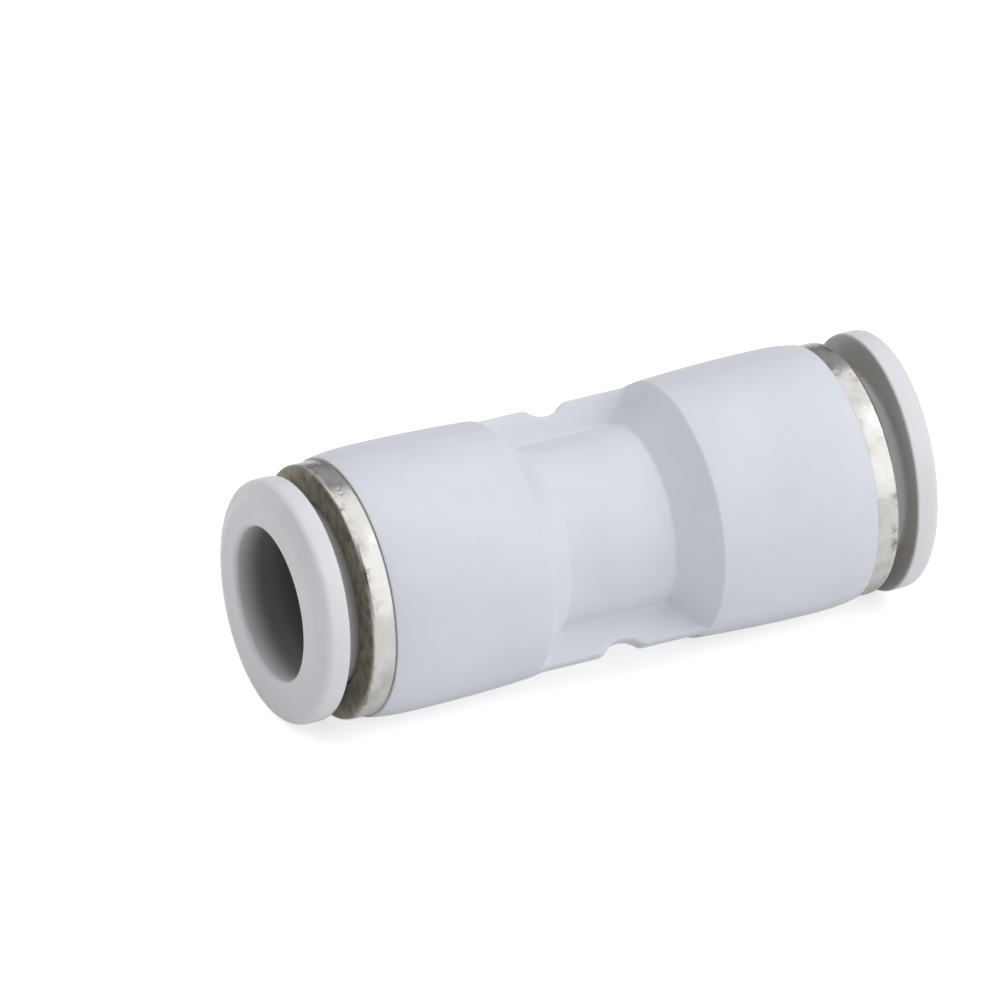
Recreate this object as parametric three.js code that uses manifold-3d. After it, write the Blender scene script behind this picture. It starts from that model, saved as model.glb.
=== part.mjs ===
// A straight push fit coupling for 10 mm tube. A moulded housing joins two equal sockets. Each socket holds,
// from the inside out, a lip seal, a spacer, a stainless claw ring, a pressed-in metal guide ring and a
// release sleeve with an oval flange. The tube axis is X, the origin is the middle of the coupling, Z is up.
// Lengths are millimetres. Every profile is a list of [x, radius] points of the +X end.
import * as THREE from "three";
import { mergeVertices } from "three/addons/utils/BufferGeometryUtils.js";
import Module from "manifold-3d";

const TUBE_RADIUS = 5;

// Housing, outside
const BODY_END = 17.65; // where the housing meets the guide ring
const BODY_END_RADIUS = 8.76;
const BODY_WIDEST = 9;
const WIDEST_AT = 14.2;
const SHOULDER_AT = 6.28;
const SHOULDER_RADIUS = 8.74;
const NECK_RADIUS = 6.32;
const NECK_HALF = SHOULDER_AT - (SHOULDER_RADIUS - NECK_RADIUS); // a 45 degree cone joins neck and shoulder

// The two flat webs beside the neck are one plate through the axis
const WEB_ROLL = Math.PI / 4; // the plate's tilt about the tube axis, as the coupling lies
const WEB_HALF_WIDTH = 8.68;
const WEB_HALF_LENGTH = SHOULDER_AT + 0.32;
const WEB_THICKNESS = 1.3;
const NOTCH_RADIUS = 1.72;
const NOTCH_DEPTH = 0.69;

// Housing, inside
const PASSAGE_RADIUS = 3.9;
const TUBE_STOP = 3.5;
const TUBE_GUIDE_RADIUS = TUBE_RADIUS + 0.15;
const CHAMBER_START = 9.5;
const CHAMBER_RADIUS = 7.3;
const LEAD_IN = 0.35;
const CUT_PAST = 2; // how far a cutting shape runs past the face it cuts

// Clearances
const GAP = 0.05; // between pieces that rest on or fit into each other
const RUNNING_GAP = 0.1; // round the stem of the release sleeve

// Seal and spacer
const SEAL_START = CHAMBER_START + 0.1;
const SEAL_END = 12.4;
const SEAL_LIP_RADIUS = TUBE_RADIUS - 0.15;
const SEAL_LIP_LAND = 0.3; // where the lip's flat begins
const SEAL_BACK_RADIUS = TUBE_RADIUS + 0.4;
const SEAL_GROOVE = 0.9; // depth of the groove that the pressure opens
const SEAL_HEEL = 0.5; // wall outside the groove
const SEAL_THROAT_RADIUS = TUBE_RADIUS + 0.25;
const SEAL_MOUTH_RADIUS = TUBE_RADIUS + 0.6;
const SEAL_MOUTH = 1; // length of the tapered mouth
const SPACER_END = 14.45;
const SPACER_BORE = TUBE_RADIUS + 0.25;
const SPACER_FLOOR = 0.6;
const SPACER_WALL = 0.35;
const SPACER_MOUTH = 0.45;

// Claw ring: a flat rim and a crown of claws that lean inwards and towards the middle
const SHEET = 0.4;
const CLAW_COUNT = 12;
const CLAW_ROOT_RADIUS = 6.35;
const CLAW_TIP_RADIUS = TUBE_RADIUS - 0.03;
const CLAW_RUN = 1.3;
const CLAW_SLOT = 0.5;
const CLAW_RIM_START = SPACER_END + 0.1;

// Guide ring
const RING_START = CLAW_RIM_START + SHEET + 0.15;
const RING_FACE = 19.36;
const RING_RADIUS = 8.6;
const RING_ROUND = 0.35;
const RING_LIP = 18.25; // back of the lip that keeps the sleeve in
const RING_RECESS_RADIUS = 6.9;

// Release sleeve
const STEM_RADIUS = 6.3;
const SLEEVE_BORE = TUBE_RADIUS + 0.22;
const SLEEVE_TRAVEL = 1.4;
const SLEEVE_NOSE = CLAW_RIM_START + SHEET / 2 + SLEEVE_TRAVEL;
const NOSE_RADIUS = STEM_RADIUS - 0.4;
const STEM_TAPER = 0.1;
const CATCH_RADIUS = STEM_RADIUS + 0.45;
const CATCH_LENGTH = 1;
const CATCH_SLOPE = 0.3;
const FLANGE_BACK = 20.9;
const FLANGE_FACE = 22.92;
const FLANGE_LONG = 9; // half of the oval's long axis
const FLANGE_SHORT = 8.15;
const FLANGE_EDGE = 0.15; // bevel of the back edge
const FLANGE_ROUND_X = 0.5;
const FLANGE_ROUND_R = 0.9;
const BORE_LIP = 0.35;
const LEFT_SLEEVE_TURN = THREE.MathUtils.degToRad(132); // of the oval's long axis, from +Y
const RIGHT_SLEEVE_TURN = THREE.MathUtils.degToRad(90);

const SEGMENTS = 48;
const INNER_SEGMENTS = 24;
const ARC_STEPS = 4;
const MERGE_TOLERANCE = 1e-4;

const MATERIALS = {
  housing: new THREE.MeshStandardMaterial({ color: 0xe6e9ee, roughness: 0.5, metalness: 0 }),
  sleeve: new THREE.MeshStandardMaterial({ color: 0xdfe2e6, roughness: 0.45, metalness: 0 }),
  nickel: new THREE.MeshStandardMaterial({ color: 0xcfcbc3, roughness: 0.25, metalness: 1 }),
  steel: new THREE.MeshStandardMaterial({ color: 0xb8b9bb, roughness: 0.35, metalness: 1 }),
  rubber: new THREE.MeshStandardMaterial({ color: 0x1d1d1f, roughness: 0.8, metalness: 0 }),
  resin: new THREE.MeshStandardMaterial({ color: 0xc9ccd0, roughness: 0.6, metalness: 0 }),
};

const wasm = await Module();
wasm.setup();

/** A closed three.js geometry as a solid that can be joined and cut. */
function toSolid(geometry) {
  const shape = geometry.clone();
  shape.deleteAttribute("normal");
  shape.deleteAttribute("uv");
  const merged = mergeVertices(shape, MERGE_TOLERANCE);
  const corners = merged.index.array;
  const kept = [];
  for (let i = 0; i < corners.length; i += 3) {
    const [a, b, c] = corners.subarray(i, i + 3);
    if (a !== b && b !== c && c !== a) kept.push(a, b, c);
  }
  const vertProperties = merged.attributes.position.array;
  const triVerts = new Uint32Array(kept);
  return new wasm.Manifold(new wasm.Mesh({ numProp: 3, vertProperties, triVerts }));
}

/** A solid as a three.js geometry. */
function toGeometry(solid) {
  const { vertProperties, triVerts } = solid.getMesh();
  const geometry = new THREE.BufferGeometry();
  geometry.setAttribute("position", new THREE.BufferAttribute(vertProperties, 3));
  geometry.setIndex(new THREE.BufferAttribute(triVerts, 1));
  geometry.computeVertexNormals();
  return geometry;
}

/** A profile of [x, radius] points turned about the X axis. */
function turned(profile, segments = SEGMENTS) {
  const points = profile.map(([x, radius]) => new THREE.Vector2(radius, x));
  return new THREE.LatheGeometry(points, segments).rotateZ(-Math.PI / 2);
}

/** A hollow ring, from a profile that goes once round its section. */
function turnedRing(profile, segments) {
  return turned([...profile, profile[0]], segments);
}

/** A turned solid with no hole, from the outline of its outside, left to right. */
function turnedSolid(outline) {
  const startX = outline[0][0];
  const endX = outline[outline.length - 1][0];
  return toSolid(turned([[startX, 0], ...outline, [endX, 0]]));
}

/** The points of a quarter ellipse about [x, radius], from one angle to the next, in quarter turns. */
function quarterRound([x, radius], sizeX, sizeR, fromQuarter) {
  const points = [];
  for (let i = 0; i <= ARC_STEPS; i++) {
    const angle = (fromQuarter - i / ARC_STEPS) * (Math.PI / 2);
    points.push([x + sizeX * Math.cos(angle), radius + sizeR * Math.sin(angle)]);
  }
  return points;
}

/** The outline of both ends, from the outline of the +X end. */
function bothEnds(half) {
  const mirrored = half.map(([x, radius]) => [-x, radius]).reverse();
  return [...mirrored, ...half];
}

function named(name, geometry, material) {
  const mesh = new THREE.Mesh(geometry, material);
  mesh.name = name;
  return mesh;
}

/** The housing swells from its shoulder to its widest point and rounds in again at its end. */
function barrelRadius(x) {
  if (x < WIDEST_AT) {
    const share = (WIDEST_AT - x) / (WIDEST_AT - SHOULDER_AT);
    return BODY_WIDEST - (BODY_WIDEST - SHOULDER_RADIUS) * share ** 2;
  }
  const share = (x - WIDEST_AT) / (BODY_END - WIDEST_AT);
  return BODY_WIDEST - (BODY_WIDEST - BODY_END_RADIUS) * share ** 3;
}

function housingOutline() {
  const half = [[NECK_HALF, NECK_RADIUS]];
  const stations = 9;
  for (let i = 0; i <= stations; i++) {
    const x = SHOULDER_AT + ((BODY_END - SHOULDER_AT) * i) / stations;
    half.push([x, barrelRadius(x)]);
  }
  return bothEnds(half);
}

/** Passage, tube stops, tube guides and the chambers for the seals and rings. */
function housingCavity() {
  return bothEnds([
    [TUBE_STOP, PASSAGE_RADIUS],
    [TUBE_STOP, TUBE_GUIDE_RADIUS],
    [CHAMBER_START - LEAD_IN, TUBE_GUIDE_RADIUS],
    [CHAMBER_START, TUBE_GUIDE_RADIUS + LEAD_IN],
    [CHAMBER_START, CHAMBER_RADIUS],
    [BODY_END - LEAD_IN / 2, CHAMBER_RADIUS],
    [BODY_END, CHAMBER_RADIUS + LEAD_IN / 2],
    [BODY_END + CUT_PAST, CHAMBER_RADIUS + LEAD_IN / 2],
  ]);
}

/** The plate between the shoulders, with a round shallow notch in the middle of each long edge. */
function webPlate() {
  const notchCentre = WEB_HALF_WIDTH + NOTCH_RADIUS - NOTCH_DEPTH;
  const spread = Math.acos((NOTCH_RADIUS - NOTCH_DEPTH) / NOTCH_RADIUS);
  const outline = new THREE.Shape();
  outline.moveTo(-WEB_HALF_LENGTH, WEB_HALF_WIDTH);
  outline.lineTo(-WEB_HALF_LENGTH, -WEB_HALF_WIDTH);
  outline.absarc(0, -notchCentre, NOTCH_RADIUS, Math.PI / 2 + spread, Math.PI / 2 - spread, true);
  outline.lineTo(WEB_HALF_LENGTH, -WEB_HALF_WIDTH);
  outline.lineTo(WEB_HALF_LENGTH, WEB_HALF_WIDTH);
  outline.absarc(0, notchCentre, NOTCH_RADIUS, -Math.PI / 2 + spread, -Math.PI / 2 - spread, true);
  outline.closePath();
  const settings = { depth: WEB_THICKNESS, bevelEnabled: false, curveSegments: 12 };
  const plate = new THREE.ExtrudeGeometry(outline, settings);
  return toSolid(plate.translate(0, 0, -WEB_THICKNESS / 2).rotateX(WEB_ROLL));
}

function housing() {
  const outside = turnedSolid(housingOutline()).add(webPlate());
  const inside = turnedSolid(housingCavity());
  return named("housing", toGeometry(outside.subtract(inside)), MATERIALS.housing);
}

/** A rubber ring with a lip that leans on the tube and a groove that the pressure opens. */
function lipSeal(name) {
  const outer = CHAMBER_RADIUS - GAP;
  const profile = [
    [SEAL_START, outer],
    [SEAL_END, outer],
    [SEAL_END, SEAL_MOUTH_RADIUS],
    [SEAL_END - SEAL_MOUTH, SEAL_THROAT_RADIUS],
    [SEAL_START + SEAL_GROOVE, SEAL_LIP_RADIUS],
    [SEAL_START + SEAL_LIP_LAND, SEAL_LIP_RADIUS],
    [SEAL_START, SEAL_BACK_RADIUS],
    [SEAL_START + SEAL_GROOVE, (TUBE_RADIUS + outer) / 2],
    [SEAL_START, outer - SEAL_HEEL],
  ];
  return named(name, turnedRing(profile, INNER_SEGMENTS), MATERIALS.rubber);
}

/** A resin ring that backs the seal and leaves room behind the claws. */
function spacer(name) {
  const outer = CHAMBER_RADIUS - GAP;
  const start = SEAL_END + GAP;
  const mouth = outer - SPACER_WALL;
  const profile = [
    [start, outer],
    [SPACER_END, outer],
    [SPACER_END, mouth],
    [SPACER_END - SPACER_MOUTH, mouth],
    [start + SPACER_FLOOR, SPACER_BORE],
    [start, SPACER_BORE],
  ];
  return named(name, turnedRing(profile, INNER_SEGMENTS), MATERIALS.resin);
}

/** The gaps between neighbouring claws. */
function clawSlots() {
  const length = CLAW_ROOT_RADIUS - 0.1;
  const depth = CLAW_RUN + 2 * CUT_PAST;
  const slots = [];
  for (let i = 0; i < CLAW_COUNT; i++) {
    const slot = new THREE.BoxGeometry(depth, length, CLAW_SLOT);
    slot.translate(CLAW_RIM_START - CLAW_RUN / 2, length / 2, 0);
    slot.rotateX((2 * Math.PI * (i + 0.5)) / CLAW_COUNT);
    slots.push(toSolid(slot));
  }
  return slots;
}

/** A stainless ring, pressed from one sheet, whose claws bite into the tube when it is pulled. */
function clawRing(name) {
  const rimEnd = CLAW_RIM_START + SHEET;
  const tip = CLAW_RIM_START - CLAW_RUN;
  const profile = [
    [CLAW_RIM_START, CHAMBER_RADIUS - 2 * GAP],
    [rimEnd, CHAMBER_RADIUS - 2 * GAP],
    [rimEnd, CLAW_ROOT_RADIUS - 0.1],
    [tip + SHEET, CLAW_TIP_RADIUS],
    [tip + SHEET / 4, CLAW_TIP_RADIUS],
    [CLAW_RIM_START, CLAW_ROOT_RADIUS],
  ];
  let ring = toSolid(turnedRing(profile));
  for (const slot of clawSlots()) ring = ring.subtract(slot);
  return named(name, toGeometry(ring), MATERIALS.steel);
}

/** A plated collar with a skirt pressed into the housing and a lip that keeps the sleeve in. */
function guideRing(name) {
  const skirt = CHAMBER_RADIUS - GAP;
  const flangeStart = BODY_END + GAP;
  const hole = STEM_RADIUS + RUNNING_GAP;
  const corner = [RING_FACE - RING_ROUND, RING_RADIUS - RING_ROUND];
  const profile = [
    [RING_START, skirt],
    [flangeStart, skirt],
    [flangeStart, RING_RADIUS],
    ...quarterRound(corner, RING_ROUND, RING_ROUND, 1),
    [RING_FACE, hole + RING_ROUND / 2],
    [RING_FACE - RING_ROUND / 2, hole],
    [RING_LIP, hole],
    [RING_LIP, RING_RECESS_RADIUS],
    [RING_START, RING_RECESS_RADIUS],
  ];
  return named(name, turnedRing(profile), MATERIALS.nickel);
}

/** The oval flange that a thumb or a tool presses. */
function sleeveFlange(turn) {
  const corner = [FLANGE_FACE - FLANGE_ROUND_X, FLANGE_LONG - FLANGE_ROUND_R];
  const outline = [
    [FLANGE_BACK, FLANGE_LONG - FLANGE_EDGE],
    [FLANGE_BACK + FLANGE_EDGE, FLANGE_LONG],
    ...quarterRound(corner, FLANGE_ROUND_X, FLANGE_ROUND_R, 1),
  ];
  const round = turned([[FLANGE_BACK, 0], ...outline, [FLANGE_FACE, 0]]);
  return toSolid(round.scale(1, 1, FLANGE_SHORT / FLANGE_LONG).rotateX(turn));
}

/** A stem with a catch behind its nose, joined to the oval flange and bored for the tube. */
function releaseSleeve(name, turn) {
  const catchStart = RING_LIP - CATCH_LENGTH;
  const stem = turnedSolid([
    [SLEEVE_NOSE, NOSE_RADIUS],
    [catchStart, STEM_RADIUS - STEM_TAPER],
    [catchStart + CATCH_SLOPE, CATCH_RADIUS],
    [RING_LIP - GAP, CATCH_RADIUS],
    [RING_LIP - GAP, STEM_RADIUS],
    [FLANGE_BACK + BORE_LIP, STEM_RADIUS],
  ]);
  const mouth = [FLANGE_FACE, SLEEVE_BORE + BORE_LIP];
  const bore = turnedSolid([
    [SLEEVE_NOSE - CUT_PAST, SLEEVE_BORE + LEAD_IN / 2],
    [SLEEVE_NOSE, SLEEVE_BORE + LEAD_IN / 2],
    [SLEEVE_NOSE + LEAD_IN, SLEEVE_BORE],
    ...quarterRound([FLANGE_FACE - BORE_LIP, mouth[1]], BORE_LIP, -BORE_LIP, 1),
    [FLANGE_FACE + CUT_PAST, mouth[1]],
  ]);
  const sleeve = stem.add(sleeveFlange(turn)).subtract(bore);
  return named(name, toGeometry(sleeve), MATERIALS.sleeve);
}

/** The loose pieces of one socket, in the +X end's place. */
function socketPieces(side, sleeveTurn) {
  const end = new THREE.Group();
  end.add(
    lipSeal(`lip_seal_${side}`),
    spacer(`spacer_ring_${side}`),
    clawRing(`claw_ring_${side}`),
    guideRing(`guide_ring_${side}`),
    releaseSleeve(`release_sleeve_${side}`, sleeveTurn),
  );
  return end;
}

const group = new THREE.Group();
group.add(housing());
group.add(socketPieces("right", RIGHT_SLEEVE_TURN));

// The left end is the right end turned half round about Z, which turns an angle about X the other way.
const leftEnd = socketPieces("left", Math.PI - LEFT_SLEEVE_TURN);
leftEnd.rotation.z = Math.PI;
group.add(leftEnd);

export default group;
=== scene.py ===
"""Looks of a straight push fit coupling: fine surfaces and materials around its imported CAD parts.

Profiles are in millimetres, as (x, radius) points of the right-hand end; MM turns them into metres.
"""

import math

import bpy
import numpy as np
from mathutils import Matrix, Vector


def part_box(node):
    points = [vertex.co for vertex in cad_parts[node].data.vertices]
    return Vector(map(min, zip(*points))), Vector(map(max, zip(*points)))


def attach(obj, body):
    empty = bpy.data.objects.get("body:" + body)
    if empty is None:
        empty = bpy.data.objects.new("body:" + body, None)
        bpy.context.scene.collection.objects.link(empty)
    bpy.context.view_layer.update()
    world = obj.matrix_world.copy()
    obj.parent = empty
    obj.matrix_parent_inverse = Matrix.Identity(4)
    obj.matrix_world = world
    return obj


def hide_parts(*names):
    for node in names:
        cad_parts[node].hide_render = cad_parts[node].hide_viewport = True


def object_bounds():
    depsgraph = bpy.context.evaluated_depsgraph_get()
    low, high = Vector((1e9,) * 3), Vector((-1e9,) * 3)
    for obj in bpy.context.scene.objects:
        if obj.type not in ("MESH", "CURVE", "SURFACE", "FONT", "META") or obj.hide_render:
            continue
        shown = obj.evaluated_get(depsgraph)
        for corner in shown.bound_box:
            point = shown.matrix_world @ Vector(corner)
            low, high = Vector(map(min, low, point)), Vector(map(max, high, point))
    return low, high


MM = 0.001
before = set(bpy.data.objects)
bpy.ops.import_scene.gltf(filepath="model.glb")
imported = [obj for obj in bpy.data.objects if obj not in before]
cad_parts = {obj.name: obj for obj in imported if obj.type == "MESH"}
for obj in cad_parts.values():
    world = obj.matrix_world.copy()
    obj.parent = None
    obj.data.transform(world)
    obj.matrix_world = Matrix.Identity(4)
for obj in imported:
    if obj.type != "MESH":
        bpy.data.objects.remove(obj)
CAD_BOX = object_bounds()


def reach(node):
    """Start, end and radius of a right-hand CAD node, in millimetres."""
    low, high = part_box(node)
    return low.x / MM, high.x / MM, high.z / MM


# Housing: its end and its widest radius come from the frame
_, BODY_END, BODY_WIDEST = reach("housing")
BODY_END_RADIUS = 8.76
BODY_END_ROUND = 0.05
WIDEST_AT = 14.2
SHOULDER_AT = 6.28
SHOULDER_RADIUS = 8.74
NECK_RADIUS = 6.32
NECK_HALF = SHOULDER_AT - (SHOULDER_RADIUS - NECK_RADIUS)
PASSAGE_RADIUS = 3.9
TUBE_STOP = 3.5
TUBE_GUIDE_RADIUS = 5.15
TUBE_LEAD_IN = 0.35
CHAMBER_START = 9.5
CHAMBER_RADIUS = 7.3
CHAMBER_CHAMFER = 0.17

# The plate of the two webs
WEB_ROLL = math.radians(45)
WEB_HALF_WIDTH = 8.68
WEB_HALF_THICKNESS = 0.65
WEB_EDGE_ROUND = 0.2
WEB_FILLET = 0.3
NOTCH_RADIUS = 1.72
NOTCH_DEPTH = 0.69
WEB_REACH = SHOULDER_AT + 1  # the plate is inside the sockets beyond this

# Guide ring
RING_START, RING_FACE, RING_RADIUS = reach("guide_ring_right")
RING_GAP = 0.05
RING_SEAM = 0.01
RING_SKIRT = 7.25
RING_HOLE = 6.4
RING_RECESS = 6.9
RING_LIP = 18.25

# Release sleeve
SLEEVE_NOSE, FLANGE_FACE, FLANGE_LONG = reach("release_sleeve_right")
FLANGE_BACK = 20.9
FLANGE_SHORT = 8.15
FLANGE_ROLL_DEPTH = 0.45  # the soft roll between the flange's rim and its face
FLANGE_ROLL_WIDTH = 1.55
OVAL_FROM_RIM = 1.2  # the flange is fully oval from this far inside its rim
STEM_RADIUS = 6.3
CATCH_RADIUS = 6.75
SLEEVE_BORE = 5.22
SLEEVE_TURNS = {"left": math.radians(132), "right": math.radians(90)}  # of the oval's long axis, from +Y

# Pieces inside the socket
SEAL_START, SEAL_END, SEAL_RADIUS = reach("lip_seal_right")
SEAL_HEEL_RADIUS = 5.6
SEAL_LIP_RADIUS = 4.85
SPACER_START, SPACER_END, SPACER_RADIUS = reach("spacer_ring_right")
SPACER_BORE = 5.25
CLAW_TIP_X, CLAW_RIM_END, CLAW_RIM_RADIUS = reach("claw_ring_right")
CLAW_COUNT = 12
CLAW_SHEET = 0.4
CLAW_ROOT_RADIUS = 6.35
CLAW_TIP_RADIUS = 4.97
CLAW_SLOT = 0.5

# How finely curves are drawn
ROUND_STEPS = 6
LONGEST_STEP = 0.7
LONGEST_SLEEVE_STEP = 0.45
TURN_STEPS = 192
BARREL_STATIONS = 20
NOTCH_STEP = 0.075
CLAW_COLUMNS = 9
HALVINGS = 30


# ---------------------------------------------------------------- profiles

def rounded(corners):
    """A closed profile from corners (x, radius, rounding), each corner replaced by an arc."""
    points = []
    for i, (x, r, rounding) in enumerate(corners):
        here = Vector((x, r))
        if rounding <= 0:
            points.append(here)
            continue
        to_last = (Vector(corners[i - 1][:2]) - here).normalized()
        to_next = (Vector(corners[(i + 1) % len(corners)][:2]) - here).normalized()
        half = to_last.angle(to_next) / 2
        setback = rounding / math.tan(half)
        centre = here + (to_last + to_next).normalized() * (rounding / math.sin(half))
        start = here + to_last * setback - centre
        sweep = start.angle_signed(here + to_next * setback - centre)
        for k in range(ROUND_STEPS + 1):
            turn = Matrix.Rotation(-sweep * k / ROUND_STEPS, 2)
            points.append(centre + turn @ start)
    return points


def filled(points, closed=True, longest=LONGEST_STEP):
    """The same profile with extra points, so that no step is longer than longest."""
    result = []
    for i, here in enumerate(points):
        result.append(here)
        if i + 1 == len(points) and not closed:
            break
        step = points[(i + 1) % len(points)] - here
        count = math.ceil(step.length / longest)
        result.extend(here + step * (k / count) for k in range(1, count))
    return result


# ---------------------------------------------------------------- meshes

def mesh_object(name, vertices, faces):
    mesh = bpy.data.meshes.new(name)
    mesh.from_pydata([tuple(v) for v in vertices], [], faces)
    mesh.validate()
    mesh.polygons.foreach_set("use_smooth", [True] * len(mesh.polygons))
    made = bpy.data.objects.new(name, mesh)
    bpy.context.scene.collection.objects.link(made)
    made.modifiers.new("even shading", "WEIGHTED_NORMAL")
    return made


def grid_faces(row_count, column_count, first=0, open_columns=False):
    """Quads of a grid that closes on itself down the rows and, unless open, across the columns."""
    faces = []
    for i in range(row_count):
        below = (i + 1) % row_count
        for j in range(column_count - (1 if open_columns else 0)):
            right = (j + 1) % column_count
            faces.append((
                first + i * column_count + j,
                first + i * column_count + right,
                first + below * column_count + right,
                first + below * column_count + j,
            ))
    return faces


def on_side(vertices, side):
    """Points of the right-hand end in metres, turned half round about Z for the left-hand end."""
    sign = -1 if side == "left" else 1
    return [Vector((sign * x, sign * y, z)) * MM for x, y, z in vertices]


def turned(name, profile, side):
    """A ring with this closed profile, going up the outside in +X."""
    vertices = []
    for x, r in profile:
        for j in range(TURN_STEPS):
            angle = 2 * math.pi * j / TURN_STEPS
            vertices.append((x, r * math.cos(angle), r * math.sin(angle)))
    faces = grid_faces(len(profile), TURN_STEPS)
    return mesh_object(name, on_side(vertices, side), faces)


def finished(piece, node, body, material):
    """The piece with its material, standing for its CAD node on that node's body."""
    piece.data.materials.append(material)
    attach(piece, body)
    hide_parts(node)
    return piece


# ---------------------------------------------------------------- housing

def barrel_radius(x):
    """The socket swells from its shoulder to its widest point and rounds in again at its end."""
    if x < WIDEST_AT:
        share = (WIDEST_AT - x) / (WIDEST_AT - SHOULDER_AT)
        return BODY_WIDEST - (BODY_WIDEST - SHOULDER_RADIUS) * share**2
    share = (x - WIDEST_AT) / (BODY_END - WIDEST_AT)
    return BODY_WIDEST - (BODY_WIDEST - BODY_END_RADIUS) * share**3


def housing_profile():
    """The outside of the +X half from the middle to the end, then the inside back to the middle."""
    stations = np.linspace(SHOULDER_AT, BODY_END, BARREL_STATIONS)
    outside = [(0, NECK_RADIUS, 0), (NECK_HALF, NECK_RADIUS, 0.35)]
    outside += [(SHOULDER_AT, SHOULDER_RADIUS, 0.3)]
    outside += [(x, barrel_radius(x), 0) for x in stations[1:-1]]
    outside += [(BODY_END, barrel_radius(BODY_END), BODY_END_ROUND)]
    inside = [
        (BODY_END, CHAMBER_RADIUS + CHAMBER_CHAMFER, 0),
        (BODY_END - CHAMBER_CHAMFER, CHAMBER_RADIUS, 0),
        (CHAMBER_START, CHAMBER_RADIUS, 0.1),
        (CHAMBER_START, TUBE_GUIDE_RADIUS + TUBE_LEAD_IN, 0.05),
        (CHAMBER_START - TUBE_LEAD_IN, TUBE_GUIDE_RADIUS, 0.1),
        (TUBE_STOP, TUBE_GUIDE_RADIUS, 0.1),
        (TUBE_STOP, PASSAGE_RADIUS, 0.15),
        (0, PASSAGE_RADIUS, 0),
    ]
    return rounded(outside + inside)


def notch_rows():
    """Rows close together where the webs' notches are, as (x, neck radius)."""
    reach_x = NOTCH_RADIUS + 3 * WEB_EDGE_ROUND
    return [Vector((x, NECK_RADIUS)) for x in np.arange(0, reach_x, NOTCH_STEP)]


def housing_columns():
    """Angles round the axis from the web's middle, close together across the webs' faces and fillets."""
    across_edge = np.linspace(0, 3.6, 4)
    across_fillet = np.linspace(3.7, 9.9, 34)
    clear_of_web = np.linspace(13.25, 90, 30)
    quarter = [*across_edge, *across_fillet, *clear_of_web]
    half = quarter + [180 - a for a in reversed(quarter[:-1])]
    return np.radians(half + [a + 180 for a in half[1:-1]])


def rounded_cut(a, b, rounding):
    """The rounded meeting of two surfaces where the solid is inside both."""
    corner = np.hypot(np.maximum(rounding + a, 0), np.maximum(rounding + b, 0))
    return np.minimum(-rounding, np.maximum(a, b)) + corner


def filleted_join(a, b, fillet):
    """The filleted meeting of two surfaces where the solid is inside either."""
    corner = np.hypot(np.maximum(fillet - a, 0), np.maximum(fillet - b, 0))
    return np.maximum(fillet, np.minimum(a, b)) - corner


def outside_distance(x, radius, angle, core):
    """Roughly how far a point is outside the neck, cones and sockets joined with the web plate."""
    across = radius * np.abs(np.sin(angle)) - WEB_HALF_THICKNESS
    along = radius * np.abs(np.cos(angle))
    notch_centre = WEB_HALF_WIDTH + NOTCH_RADIUS - NOTCH_DEPTH
    notch = NOTCH_RADIUS - np.hypot(x, along - notch_centre)
    edge = rounded_cut(along - WEB_HALF_WIDTH, notch, WEB_EDGE_ROUND)
    plate = rounded_cut(edge, across, WEB_EDGE_ROUND)
    return filleted_join(radius - core, plate, WEB_FILLET)


def web_radii(x, core, angles):
    """Outer radius of the housing at each angle, found by halving."""
    low = np.full_like(angles, core)
    high = np.full_like(angles, max(core, WEB_HALF_WIDTH) + 1)
    for _ in range(HALVINGS):
        middle = (low + high) / 2
        outside = outside_distance(x, middle, angles, core) > 0
        high = np.where(outside, middle, high)
        low = np.where(outside, low, middle)
    return (low + high) / 2


def housing(material):
    profile = filled(housing_profile(), closed=False)
    turn_at = max(range(len(profile)), key=lambda i: (profile[i].x, profile[i].y))
    near_notch = notch_rows()
    outside = [p for p in profile[: turn_at + 1] if p.x > near_notch[-1].x + 0.05]
    outside = near_notch + outside
    inside = profile[turn_at + 1 :]
    mirrored_outside = [Vector((-p.x, p.y)) for p in reversed(outside[1:])]
    mirrored_inside = [Vector((-p.x, p.y)) for p in reversed(inside[:-1])]
    angles = housing_columns()
    vertices = []
    for part, has_web in ((mirrored_outside + outside, True), (inside + mirrored_inside, False)):
        for x, core in part:
            radii = np.full_like(angles, core)
            if has_web and abs(x) < WEB_REACH:
                radii = web_radii(x, core, angles)
            directions = angles + WEB_ROLL
            ys = radii * np.cos(directions)
            zs = radii * np.sin(directions)
            vertices.extend(Vector((x, y, z)) * MM for y, z in zip(ys, zs))
    rows = len(vertices) // len(angles)
    piece = mesh_object("housing_shell", vertices, grid_faces(rows, len(angles)))
    return finished(piece, "housing", "coupling_housing", material)


# ---------------------------------------------------------------- the pieces of a socket

def guide_ring(side, material):
    back = BODY_END + RING_SEAM
    profile = rounded([
        (RING_START, RING_SKIRT, 0.1),
        (back, RING_SKIRT, 0.05),
        (back, RING_RADIUS, 0.02),
        (RING_FACE, RING_RADIUS, 0.3),
        (RING_FACE, RING_HOLE, 0.18),
        (RING_LIP, RING_HOLE, 0.1),
        (RING_LIP, RING_RECESS, 0.1),
        (RING_START, RING_RECESS, 0.1),
    ])
    piece = turned(f"guide_ring_{side}_turned", filled(profile), side)
    return finished(piece, f"guide_ring_{side}", "coupling_housing", material)


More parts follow.
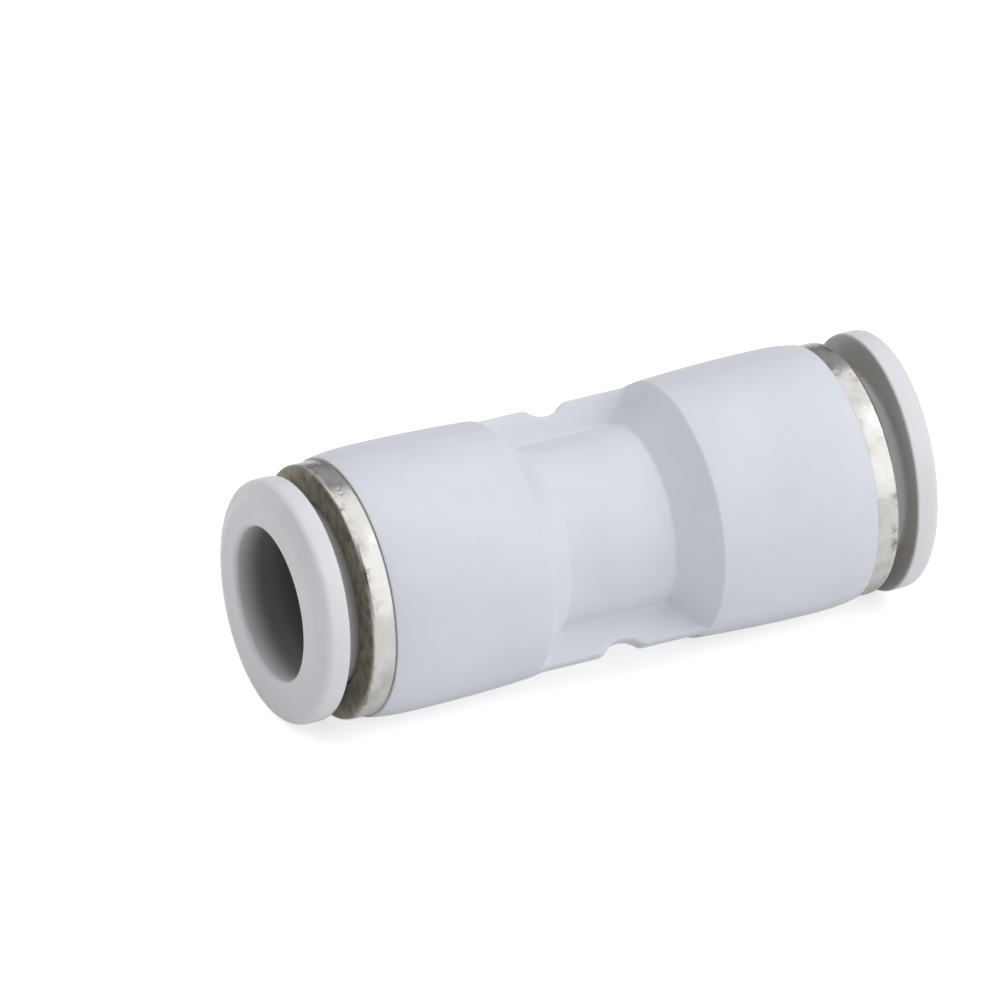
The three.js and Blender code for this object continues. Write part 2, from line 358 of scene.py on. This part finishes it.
def sleeve_profile():
    """Closed profile as (x, radius, share of the flange's oval shape)."""
    catch = RING_LIP - RING_GAP
    corners = [
        (SLEEVE_NOSE, STEM_RADIUS - 0.4, 0.08),
        (RING_LIP - 1, STEM_RADIUS - 0.1, 0),
        (RING_LIP - 0.7, CATCH_RADIUS, 0.08),
        (catch, CATCH_RADIUS, 0.08),
        (catch, STEM_RADIUS, 0.04),
        (FLANGE_BACK, STEM_RADIUS, 0.3),
        (FLANGE_BACK, FLANGE_LONG, 0.22),
        (FLANGE_FACE - FLANGE_ROLL_DEPTH, FLANGE_LONG, 0.6),
        (FLANGE_FACE, FLANGE_LONG - FLANGE_ROLL_WIDTH, 1.5),
        (FLANGE_FACE, SLEEVE_BORE, 0.34),
        (SLEEVE_NOSE + 0.35, SLEEVE_BORE, 0),
        (SLEEVE_NOSE, SLEEVE_BORE + 0.18, 0.05),
    ]
    points = filled(rounded(corners), longest=LONGEST_SLEEVE_STEP)
    blend_end = FLANGE_LONG - OVAL_FROM_RIM
    shaped = []
    for x, r in points:
        share = min(max((r - STEM_RADIUS) / (blend_end - STEM_RADIUS), 0), 1)
        on_flange = x > RING_FACE
        shaped.append((x, r, share if on_flange else 0))
    return shaped


def release_sleeve(side, material):
    turn = SLEEVE_TURNS[side]
    local_turn = math.pi - turn if side == "left" else turn
    vertices = []
    for x, r, share in sleeve_profile():
        squeeze = 1 - share * (1 - FLANGE_SHORT / FLANGE_LONG)
        for j in range(TURN_STEPS):
            angle = 2 * math.pi * j / TURN_STEPS
            oval = Vector((r * math.cos(angle), squeeze * r * math.sin(angle)))
            oval.rotate(Matrix.Rotation(local_turn, 2))
            vertices.append((x, oval.x, oval.y))
    faces = grid_faces(len(vertices) // TURN_STEPS, TURN_STEPS)
    piece = mesh_object(f"release_sleeve_{side}_moulded", on_side(vertices, side), faces)
    return finished(piece, f"release_sleeve_{side}", f"{side}_sleeve", material)


def lip_seal(side, material):
    """A U-shaped ring: an outer wall, a groove open to the pressure side and a lip on the tube."""
    groove_depth = 0.9
    groove_radius = (5 + SEAL_RADIUS) / 2
    profile = rounded([
        (SEAL_START, SEAL_RADIUS, 0.15),
        (SEAL_END, SEAL_RADIUS, 0.2),
        (SEAL_END, SEAL_HEEL_RADIUS, 0.1),
        (SEAL_END - 1, 5.25, 0.3),
        (SEAL_START + 0.9, SEAL_LIP_RADIUS, 0.2),
        (SEAL_START + 0.3, SEAL_LIP_RADIUS, 0.15),
        (SEAL_START, 5.4, 0.1),
        (SEAL_START + groove_depth, groove_radius, 0.15),
        (SEAL_START, SEAL_RADIUS - 0.5, 0.12),
    ])
    piece = turned(f"lip_seal_{side}_moulded", filled(profile), side)
    return finished(piece, f"lip_seal_{side}", "coupling_housing", material)


def spacer_ring(side, material):
    mouth = SPACER_RADIUS - 0.35
    profile = rounded([
        (SPACER_START, SPACER_RADIUS, 0.1),
        (SPACER_END, SPACER_RADIUS, 0.1),
        (SPACER_END, mouth, 0.08),
        (SPACER_END - 0.45, mouth, 0.1),
        (SPACER_START + 0.6, SPACER_BORE, 0.1),
        (SPACER_START, SPACER_BORE, 0.1),
    ])
    piece = turned(f"spacer_ring_{side}_moulded", filled(profile), side)
    return finished(piece, f"spacer_ring_{side}", "coupling_housing", material)


def claw_sections():
    """Rim and claw profiles of the pressed ring; a claw starts inside the rim."""
    rim_start = CLAW_RIM_END - CLAW_SHEET
    rim = rounded([
        (rim_start, CLAW_RIM_RADIUS, 0.08),
        (CLAW_RIM_END, CLAW_RIM_RADIUS, 0.08),
        (CLAW_RIM_END, CLAW_ROOT_RADIUS - 0.05, 0.08),
        (rim_start, CLAW_ROOT_RADIUS + 0.05, 0.08),
    ])
    claw = rounded([
        (rim_start + 0.05, CLAW_ROOT_RADIUS + 0.1, 0),
        (CLAW_RIM_END - 0.02, CLAW_ROOT_RADIUS + 0.05, 0),
        (CLAW_RIM_END - 0.02, CLAW_ROOT_RADIUS - 0.1, 0.05),
        (CLAW_TIP_X + CLAW_SHEET, CLAW_TIP_RADIUS, 0.02),
        (CLAW_TIP_X + CLAW_SHEET / 4, CLAW_TIP_RADIUS, 0.02),
    ])
    return rim, claw


def claw_ring(side, material):
    """One pressed ring: a flat rim and a crown of claws with straight slots between them."""
    rim, claw = claw_sections()
    vertices = []
    for x, r in rim:
        for j in range(TURN_STEPS):
            angle = 2 * math.pi * j / TURN_STEPS
            vertices.append((x, r * math.cos(angle), r * math.sin(angle)))
    faces = grid_faces(len(rim), TURN_STEPS)
    for i in range(CLAW_COUNT):
        first = len(vertices)
        middle = 2 * math.pi * i / CLAW_COUNT
        for x, r in claw:
            half = math.pi / CLAW_COUNT - math.asin(CLAW_SLOT / 2 / r)
            for angle in np.linspace(middle - half, middle + half, CLAW_COLUMNS):
                vertices.append((x, r * math.cos(angle), r * math.sin(angle)))
        faces += grid_faces(len(claw), CLAW_COLUMNS, first, open_columns=True)
        one_side = [first + row * CLAW_COLUMNS for row in range(len(claw))]
        faces.append(one_side)
        faces.append([corner + CLAW_COLUMNS - 1 for corner in reversed(one_side)])
    piece = mesh_object(f"claw_ring_{side}_pressed", on_side(vertices, side), faces)
    return finished(piece, f"claw_ring_{side}", f"{side}_grip", material)


# ---------------------------------------------------------------- materials

HOUSING_WHITE = (0.70, 0.725, 0.78)
SLEEVE_WHITE = (0.75, 0.76, 0.785)
SPACER_GREY = (0.40, 0.41, 0.42)
# painted brown shade in the gap behind the sleeve's flange
GAP_SHADE_BROWN = (0.19, 0.15, 0.105)
# painted grey shade deep in the sleeve's bore
BORE_SHADE_GREY = (0.15, 0.147, 0.138)
# painted shade along the guide ring's seam, also the colour of worn-through plating
WEAR_AND_SEAM_SHADE_DARK = (0.16, 0.15, 0.135)
NICKEL_STAINED = (0.45, 0.43, 0.395)
NICKEL_DULL = (0.59, 0.575, 0.55)
NICKEL_CLEAN = (0.63, 0.625, 0.61)
# painted shade and dark reflection on the guide ring's end face, which faces the shaded gap
END_FACE_SHADE_DARK = (0.25, 0.22, 0.17)
END_FACE_SHADE_LIGHT = (0.45, 0.41, 0.335)
BLACK = (0, 0, 0)
WHITE = (1, 1, 1)
STEM_SHADE = 0.62  # share of painted brown shade on the stem beside the ring
STEM_SHADE_FALL = 0.5  # how much less of it there is a millimetre further out
# share of painted brown shade on the flange's back face
FLANGE_BACK_SHADE = 0.36
# share of painted grey shade deep in the bore
BORE_SHADE = 0.85
BORE_SHADE_FULL_AT = 2.0  # this far behind the face
PLATING_WORN = 0.85
# share of painted shade along the ring's seam with the housing
SEAM_SHADE = 0.45
FACE_ROUGHER = 0.3  # the ring's end face is this much duller than its outside
STREAK_LENGTHENING = 0.004  # how slowly the turning lines change on their way round
MIX_FIRST, MIX_SECOND, MIX_COLOUR = 6, 7, 2  # a mix node's colour inputs and its colour output


class Nodes:
    """A material's node tree with short calls for the nodes used here."""

    def __init__(self, name):
        self.material = bpy.data.materials.new(name)
        self.material.use_nodes = True
        self.tree = self.material.node_tree
        self.shader = self.tree.nodes["Principled BSDF"]
        self.place = self.add("ShaderNodeTexCoord").outputs["Object"]

    def add(self, kind, **settings):
        node = self.tree.nodes.new(kind)
        for key, value in settings.items():
            setattr(node, key, value)
        return node

    def link(self, source, target):
        self.tree.links.new(source, target)

    def set(self, **values):
        for key, value in values.items():
            self.shader.inputs[key.replace("_", " ")].default_value = value

    def noise(self, scale, detail=4, rough=0.5, vector=None):
        node = self.add("ShaderNodeTexNoise")
        node.inputs["Scale"].default_value = scale
        node.inputs["Detail"].default_value = detail
        node.inputs["Roughness"].default_value = rough
        self.link(vector or self.place, node.inputs["Vector"])
        return node.outputs["Fac"]

    def ramp(self, value, stops):
        node = self.add("ShaderNodeValToRGB")
        elements = node.color_ramp.elements
        while len(elements) < len(stops):
            elements.new(0.5)
        for element, (position, colour) in zip(elements, stops):
            element.position = position
            element.color = (*colour, 1)
        self.link(value, node.inputs["Fac"])
        return node.outputs["Color"]

    def span(self, value, low, high):
        """value from 0..1 turned into low..high."""
        node = self.add("ShaderNodeMapRange")
        node.inputs["To Min"].default_value = low
        node.inputs["To Max"].default_value = high
        self.link(value, node.inputs["Value"])
        return node.outputs["Result"]

    def math(self, operation, a, b=0.0):
        node = self.add("ShaderNodeMath", operation=operation)
        for socket, value in zip(node.inputs, (a, b)):
            if isinstance(value, (int, float)):
                socket.default_value = value
            else:
                self.link(value, socket)
        return node.outputs["Value"]

    def along_and_out(self):
        """How far a point is from the middle along the tube axis and out from that axis, in mm."""
        split = self.add("ShaderNodeSeparateXYZ")
        self.link(self.place, split.inputs["Vector"])
        along = self.math("ABSOLUTE", self.math("DIVIDE", split.outputs["X"], MM))
        squares = [self.math("POWER", split.outputs[axis], 2) for axis in "YZ"]
        out = self.math("SQRT", self.math("ADD", *squares))
        return along, self.math("DIVIDE", out, MM)

    def rise(self, value, start, end):
        """0 before start, 1 after end, smooth between them."""
        node = self.add("ShaderNodeMapRange", interpolation_type="SMOOTHSTEP")
        node.inputs["From Min"].default_value = start
        node.inputs["From Max"].default_value = end
        self.link(value, node.inputs["Value"])
        return node.outputs["Result"]

    def mix(self, share, first, second):
        """first blended towards second, a colour or a socket, by this share."""
        node = self.add("ShaderNodeMix", data_type="RGBA")
        self.link(share, node.inputs["Factor"])
        self.link(first, node.inputs[MIX_FIRST])
        if isinstance(second, tuple):
            node.inputs[MIX_SECOND].default_value = (*second, 1)
        else:
            self.link(second, node.inputs[MIX_SECOND])
        return node.outputs[MIX_COLOUR]

    def bump(self, height, distance, strength=1.0, before=None):
        node = self.add("ShaderNodeBump")
        node.inputs["Strength"].default_value = strength
        node.inputs["Distance"].default_value = distance
        self.link(height, node.inputs["Height"])
        if before:
            self.link(before, node.inputs["Normal"])
        return node.outputs["Normal"]


def grey(level):
    return (level, level, level)


def moulded_plastic(name, colour, roughness, grain, let_in=0.1, painted_shade=None):
    """Satin moulded plastic: faint clouding, a fine eroded grain and a little light let in."""
    m = Nodes(name)
    clouds = m.noise(180, detail=3)
    light = [c * 1.025 for c in colour]
    dark = [c * 0.965 for c in colour]
    paint = m.ramp(clouds, [(0.3, dark), (0.7, light)])
    # painted shade, when given, is laid over the clouded colour
    m.link(painted_shade(m, paint) if painted_shade else paint, m.shader.inputs["Base Color"])
    satin = m.span(m.noise(900, detail=2), roughness - 0.05, roughness + 0.06)
    m.link(satin, m.shader.inputs["Roughness"])
    sink = m.bump(m.noise(90, detail=2), 0.00004, 0.35)
    m.link(m.bump(m.noise(9000, detail=3), 0.000004, grain, sink), m.shader.inputs["Normal"])
    m.set(IOR=1.5, Subsurface_Weight=let_in, Subsurface_Scale=0.0006)
    m.shader.inputs["Subsurface Radius"].default_value = (1.0, 0.9, 0.8)
    return m.material


def sleeve_painted_shade(m, paint):
    """Painted shade: brown behind the flange and on its back face, most by the ring, and grey deep in
    the bore.
    """
    along, out = m.along_and_out()
    ahead = m.rise(along, FLANGE_BACK + 0.02, FLANGE_BACK + 0.12)
    behind = m.math("SUBTRACT", 1, ahead)
    on_back = m.math("MULTIPLY", behind, m.rise(out, STEM_RADIUS + 0.02, STEM_RADIUS + 0.7))
    away = m.rise(along, RING_FACE - 0.1, RING_FACE + 0.9)
    by_ring = m.math("SUBTRACT", STEM_SHADE, m.math("MULTIPLY", away, STEM_SHADE_FALL))
    gap_shaded = m.mix(m.math("MULTIPLY", behind, by_ring), paint, GAP_SHADE_BROWN)
    gap_shaded = m.mix(m.math("MULTIPLY", on_back, FLANGE_BACK_SHADE), gap_shaded, GAP_SHADE_BROWN)
    # painted grey shade deep in the bore
    inside = m.math("SUBTRACT", 1, m.rise(out, SLEEVE_BORE + 0.02, SLEEVE_BORE + 0.3))
    deep = m.math("SUBTRACT", 1, m.rise(along, FLANGE_FACE - BORE_SHADE_FULL_AT, FLANGE_FACE - 0.1))
    in_bore = m.math("MULTIPLY", inside, m.math("MULTIPLY", deep, BORE_SHADE))
    return m.mix(in_bore, gap_shaded, BORE_SHADE_GREY)


def turning_place(m):
    """Position as (x, distance from the axis, a little of the way round): streaks run round the axis."""
    split = m.add("ShaderNodeSeparateXYZ")
    m.link(m.place, split.inputs["Vector"])
    flat = m.add("ShaderNodeCombineXYZ")
    m.link(split.outputs["Y"], flat.inputs["Y"])
    m.link(split.outputs["Z"], flat.inputs["Z"])
    distance = m.add("ShaderNodeVectorMath", operation="LENGTH")
    m.link(flat.outputs["Vector"], distance.inputs[0])
    joined = m.add("ShaderNodeCombineXYZ")
    m.link(split.outputs["X"], joined.inputs["X"])
    m.link(distance.outputs["Value"], joined.inputs["Y"])
    m.link(m.math("MULTIPLY", split.outputs["Z"], STREAK_LENGTHENING), joined.inputs["Z"])
    return joined.outputs["Vector"]


def plated_metal():
    """Nickel plating on turned brass: turning lines, warm stains, small dents, worn patches and duller
    end faces, with painted shade: dark along the seam and dark brown on the end faces.
    """
    m = Nodes("nickel_plate")
    along, _ = m.along_and_out()
    lines = m.noise(14000, detail=4, rough=0.7, vector=turning_place(m))
    stains = m.noise(420, detail=5, rough=0.6)
    plate = m.ramp(stains, [(0.32, NICKEL_STAINED), (0.5, NICKEL_DULL), (0.68, NICKEL_CLEAN)])
    # painted shade: the end face in the gap is coloured dark brown
    end_face_shade = m.ramp(m.noise(1300, detail=4), [(0.3, END_FACE_SHADE_DARK), (0.7, END_FACE_SHADE_LIGHT)])
    on_face = m.rise(along, RING_FACE - 0.2, RING_FACE - 0.04)
    patches = m.rise(m.noise(520, detail=5, rough=0.7), 0.54, 0.66)
    near_face = m.rise(along, RING_FACE - 0.9, RING_FACE - 0.25)
    worn_through = m.math("MULTIPLY", m.math("MULTIPLY", patches, near_face), PLATING_WORN)
    wear_and_seam_shade = m.mix(worn_through, plate, WEAR_AND_SEAM_SHADE_DARK)
    # painted shade along the ring's seam with the housing
    at_seam = m.math("SUBTRACT", 1, m.rise(along, BODY_END + 0.03, BODY_END + 0.15))
    wear_and_seam_shade = m.mix(m.math("MULTIPLY", at_seam, SEAM_SHADE), wear_and_seam_shade, WEAR_AND_SEAM_SHADE_DARK)
    m.link(m.mix(on_face, wear_and_seam_shade, end_face_shade), m.shader.inputs["Base Color"])
    shine = m.span(lines, 0.23, 0.31)
    m.link(m.math("ADD", shine, m.math("MULTIPLY", on_face, FACE_ROUGHER)), m.shader.inputs["Roughness"])
    dents = m.ramp(m.noise(1500, detail=1), [(0.30, BLACK), (0.40, WHITE)])
    uneven = m.bump(m.noise(500, detail=3), 0.00006, 0.6)
    dented = m.bump(dents, 0.00002, 0.5, uneven)
    m.link(m.bump(lines, 0.000002, 0.2, dented), m.shader.inputs["Normal"])
    m.set(Metallic=1.0)
    return m.material


def spring_steel():
    m = Nodes("spring_steel")
    grain = m.noise(6000, detail=3)
    m.link(m.ramp(grain, [(0.3, grey(0.42)), (0.7, grey(0.58))]), m.shader.inputs["Base Color"])
    m.link(m.span(grain, 0.25, 0.45), m.shader.inputs["Roughness"])
    m.link(m.bump(grain, 0.000005, 0.4), m.shader.inputs["Normal"])
    m.set(Metallic=1.0)
    return m.material


def seal_rubber():
    m = Nodes("nitrile_rubber")
    bloom = m.noise(500, detail=4)
    m.link(m.ramp(bloom, [(0.35, grey(0.012)), (0.75, grey(0.035))]), m.shader.inputs["Base Color"])
    m.link(m.span(bloom, 0.45, 0.7), m.shader.inputs["Roughness"])
    m.link(m.bump(m.noise(4000), 0.00001, 0.4), m.shader.inputs["Normal"])
    return m.material


def floor_surface():
    """A pale sweep, lifted towards white where it is seen directly or in a reflection."""
    m = Nodes("pale_floor")
    m.link(m.ramp(m.noise(3), [(0.3, grey(0.86)), (0.7, grey(0.88))]), m.shader.inputs["Base Color"])
    m.set(Roughness=0.9)
    m.shader.inputs["Emission Color"].default_value = (*WHITE, 1)
    path = m.add("ShaderNodeLightPath")
    direct = m.math("MULTIPLY", path.outputs["Is Camera Ray"], FLOOR_LIFT)
    mirrored = m.math("MULTIPLY", path.outputs["Is Glossy Ray"], FLOOR_MIRROR_LIFT)
    m.link(m.math("ADD", direct, mirrored), m.shader.inputs["Emission Strength"])
    return m.material


# ---------------------------------------------------------------- camera, floor and light

AZIMUTH = math.radians(-26.0)
ELEVATION = math.radians(29.1)
CAMERA_DISTANCE = 0.905
LENS = 492
AIM_SIDE = -5.38 * MM  # the coupling's middle lies right of and below the middle of the view
AIM_UP = 1.97 * MM
NEAREST_DRAWN = 0.01
FLOOR_HALF_SIDE = 1.5
FLOOR_LIFT = 0.65  # seen directly
FLOOR_MIRROR_LIFT = 0.2  # seen in a reflection
WORLD_LIGHT = 0.1
WORLD_COLOUR = (0.93, 0.95, 1)

# name, azimuth and elevation in degrees, distance and size in metres, radiance
SOFTBOXES = [
    ("key", 40, 24, 0.9, (1.2, 1.25), 1.41),
    ("overhead", 100, 62, 0.9, (0.9, 0.9), 1.2),
    ("back", 150, 28, 0.9, (0.7, 0.5), 0.3),
    ("top_left", -100, 64, 0.9, (1.1, 1.0), 1.15),
    ("front_fill", -25, 6, 1.0, (0.9, 0.5), 0.5),
    ("rear", 196, 30, 0.9, (0.9, 0.7), 0.45),
]


def towards(azimuth, elevation):
    """The direction seen from the coupling: azimuth 0 is the front, -Y, and 90 degrees is +X."""
    return Vector((
        math.sin(azimuth) * math.cos(elevation),
        -math.cos(azimuth) * math.cos(elevation),
        math.sin(elevation),
    ))


def camera():
    back = towards(AZIMUTH, ELEVATION)
    turn = back.to_track_quat("Z", "Y")
    right = turn @ Vector((1, 0, 0))
    up = turn @ Vector((0, 1, 0))
    data = bpy.data.cameras.new("camera")
    data.lens = LENS
    data.clip_start = NEAREST_DRAWN
    made = bpy.data.objects.new("camera", data)
    made.location = right * AIM_SIDE + up * AIM_UP + back * CAMERA_DISTANCE
    made.rotation_euler = turn.to_euler()
    bpy.context.scene.collection.objects.link(made)
    bpy.context.scene.camera = made


def floor():
    low = CAD_BOX[0][2]
    signs = [(-1, -1), (1, -1), (1, 1), (-1, 1)]
    corners = [(FLOOR_HALF_SIDE * i, FLOOR_HALF_SIDE * j, low) for i, j in signs]
    mesh = bpy.data.meshes.new("floor")
    mesh.from_pydata(corners, [], [(0, 1, 2, 3)])
    made = bpy.data.objects.new("floor", mesh)
    bpy.context.scene.collection.objects.link(made)
    mesh.materials.append(floor_surface())


def softbox(name, azimuth, elevation, distance, size, radiance):
    """A square-on area light of this size in metres, as bright as a surface of that radiance."""
    place = towards(math.radians(azimuth), math.radians(elevation)) * distance
    data = bpy.data.lights.new(name, "AREA")
    data.shape = "RECTANGLE"
    data.size, data.size_y = size
    data.energy = radiance * math.pi * size[0] * size[1]
    made = bpy.data.objects.new(name, data)
    made.location = place
    made.rotation_euler = place.to_track_quat("Z", "Y").to_euler()
    bpy.context.scene.collection.objects.link(made)


def lights():
    world = bpy.data.worlds.new("studio")
    world.use_nodes = True
    background = world.node_tree.nodes["Background"]
    background.inputs["Color"].default_value = (*WORLD_COLOUR, 1)
    background.inputs["Strength"].default_value = WORLD_LIGHT
    bpy.context.scene.world = world
    for box in SOFTBOXES:
        softbox(*box)
    bpy.context.scene.view_settings.view_transform = "Standard"


# ---------------------------------------------------------------- the coupling

camera()
floor()
lights()

housing_plastic = moulded_plastic("housing_plastic", HOUSING_WHITE, roughness=0.42, grain=0.35)
# the sleeve's plastic gets painted shade behind its flange and in its bore
sleeve_plastic = moulded_plastic(
    "sleeve_plastic", SLEEVE_WHITE, roughness=0.36, grain=0.2, painted_shade=sleeve_painted_shade
)
spacer_plastic = moulded_plastic("spacer_resin", SPACER_GREY, roughness=0.5, grain=0.3)
nickel = plated_metal()
steel = spring_steel()
rubber = seal_rubber()

housing(housing_plastic)
for socket_side in ("left", "right"):
    guide_ring(socket_side, nickel)
    release_sleeve(socket_side, sleeve_plastic)
    claw_ring(socket_side, steel)
    spacer_ring(socket_side, spacer_plastic)
    lip_seal(socket_side, rubber)
